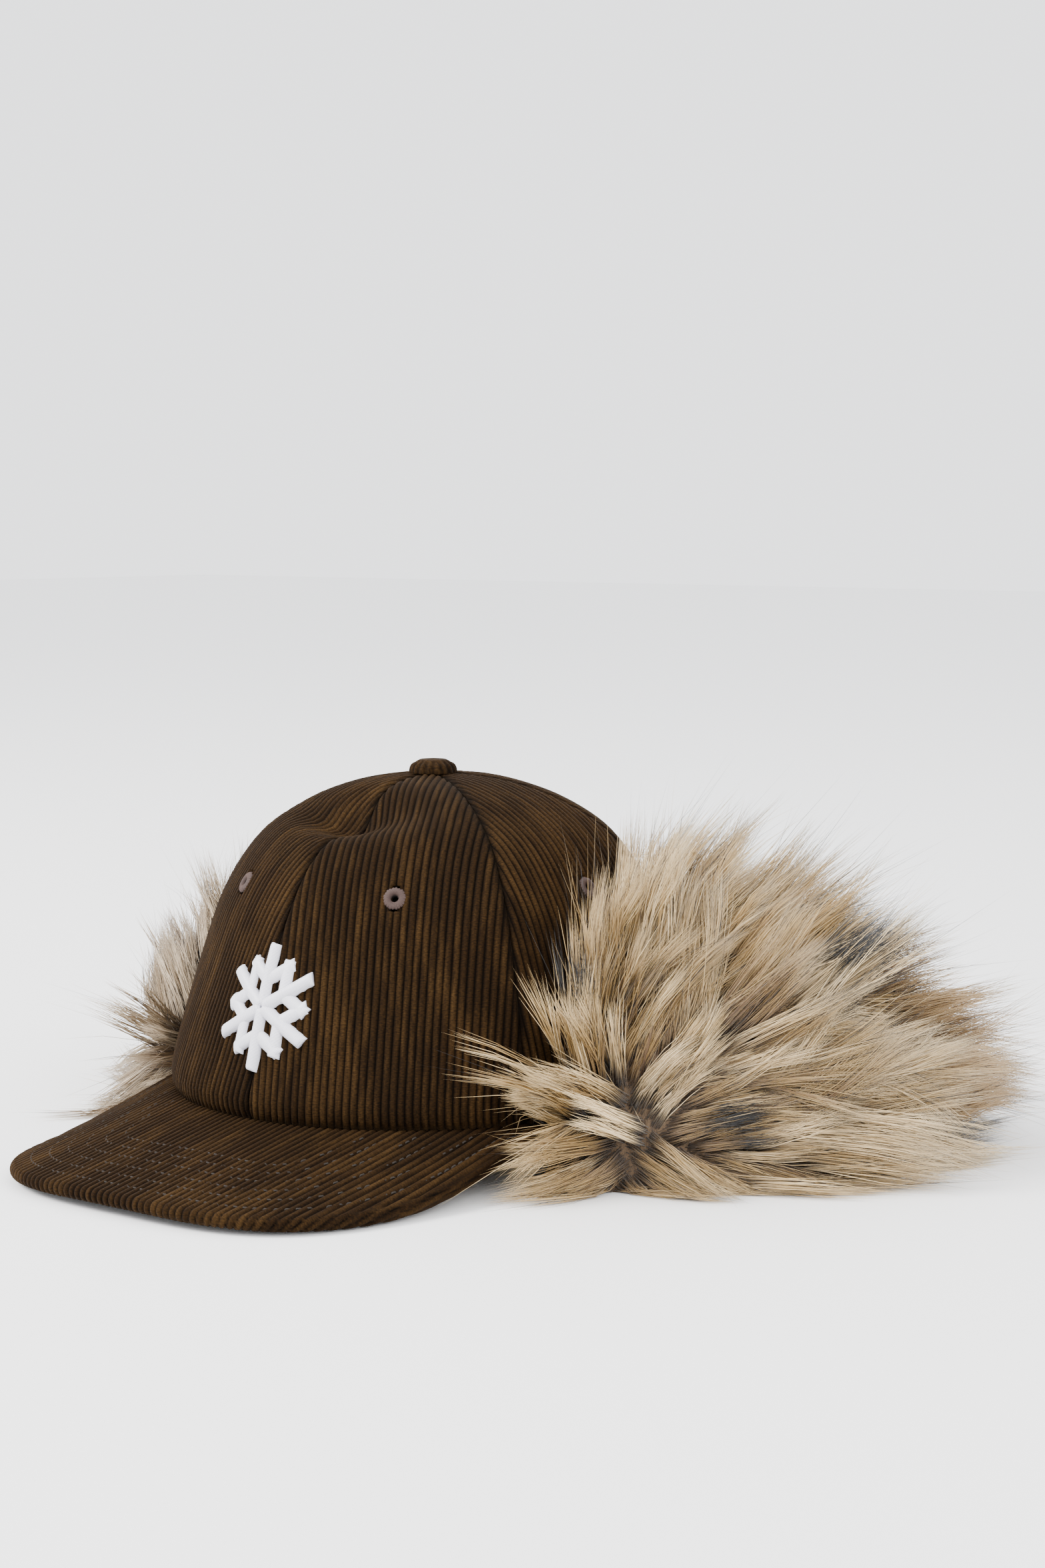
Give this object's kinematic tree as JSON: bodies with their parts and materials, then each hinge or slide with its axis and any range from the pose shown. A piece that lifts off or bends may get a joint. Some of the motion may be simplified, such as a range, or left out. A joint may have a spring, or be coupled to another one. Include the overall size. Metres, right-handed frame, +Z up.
{
  "type": "aviator cap",
  "caption": "Corduroy cap with a hollow panelled crown, a stiff flat peak, and deep fur ear flaps and nape on which it rests on a surface.",
  "frame": {"origin": "centre of the underside of the whole cap's box, on the surface that it lies on", "axes": "+Z up, -Y towards the tip of the peak, +X towards the wearer's left"},
  "size_m": [0.3662, 0.3464, 0.1329],
  "materials": {
    "corduroy": "brown corduroy with ribs",
    "eyelet_thread": "matt brown thread",
    "emblem_thread": "white satin stitch",
    "fur_pile": "long tan pile with dark tips"
  },
  "bodies": {
    "root": {"panel_front_left": "corduroy", "panel_side_left": "corduroy", "panel_back_left": "corduroy", "panel_back_right": "corduroy", "panel_side_right": "corduroy", "panel_front_right": "corduroy", "eyelet_front_left": "eyelet_thread", "eyelet_side_left": "eyelet_thread", "eyelet_back_left": "eyelet_thread", "eyelet_back_right": "eyelet_thread", "eyelet_side_right": "eyelet_thread", "eyelet_front_right": "eyelet_thread", "button": "corduroy", "visor": "corduroy", "emblem": "emblem_thread", "ear_flap_fur_left": "fur_pile", "ear_flap_fur_right": "fur_pile", "nape_fur": "fur_pile"}
  },
  "joints": []
}
